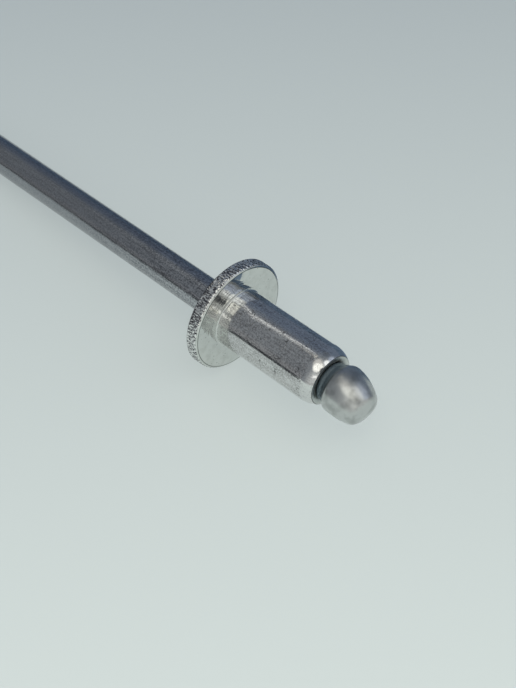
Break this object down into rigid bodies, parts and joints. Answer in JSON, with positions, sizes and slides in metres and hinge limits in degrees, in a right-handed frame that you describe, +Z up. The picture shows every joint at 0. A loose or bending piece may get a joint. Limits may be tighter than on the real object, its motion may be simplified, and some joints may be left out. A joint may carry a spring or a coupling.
{
  "type": "pop rivet",
  "caption": "Open-end blind rivet with a dome flange: a hollow aluminium shank on a steel mandrel whose head is pulled in to set it.",
  "frame": {"origin": "halfway along the rivet as it lies, on the surface that it rests on", "axes": "+X along the rivet towards the mandrel's head, +Z up; the rivet's own axis rises 5.37 degrees from +X towards +Z, because it lies on its flange's rim and its mandrel's tail"},
  "size_m": [0.0404, 0.0076, 0.0077],
  "materials": {
    "body_aluminium": "satin drawn aluminium with a fine speckle, bright seat under the flange, scored rim",
    "mandrel_steel": "plain drawn steel wire, dark and slightly grainy on the stem, smoother and brighter on the pressed head"
  },
  "bodies": {
    "root": {"rivet_body": "body_aluminium", "mandrel": "mandrel_steel"}
  },
  "joints": []
}
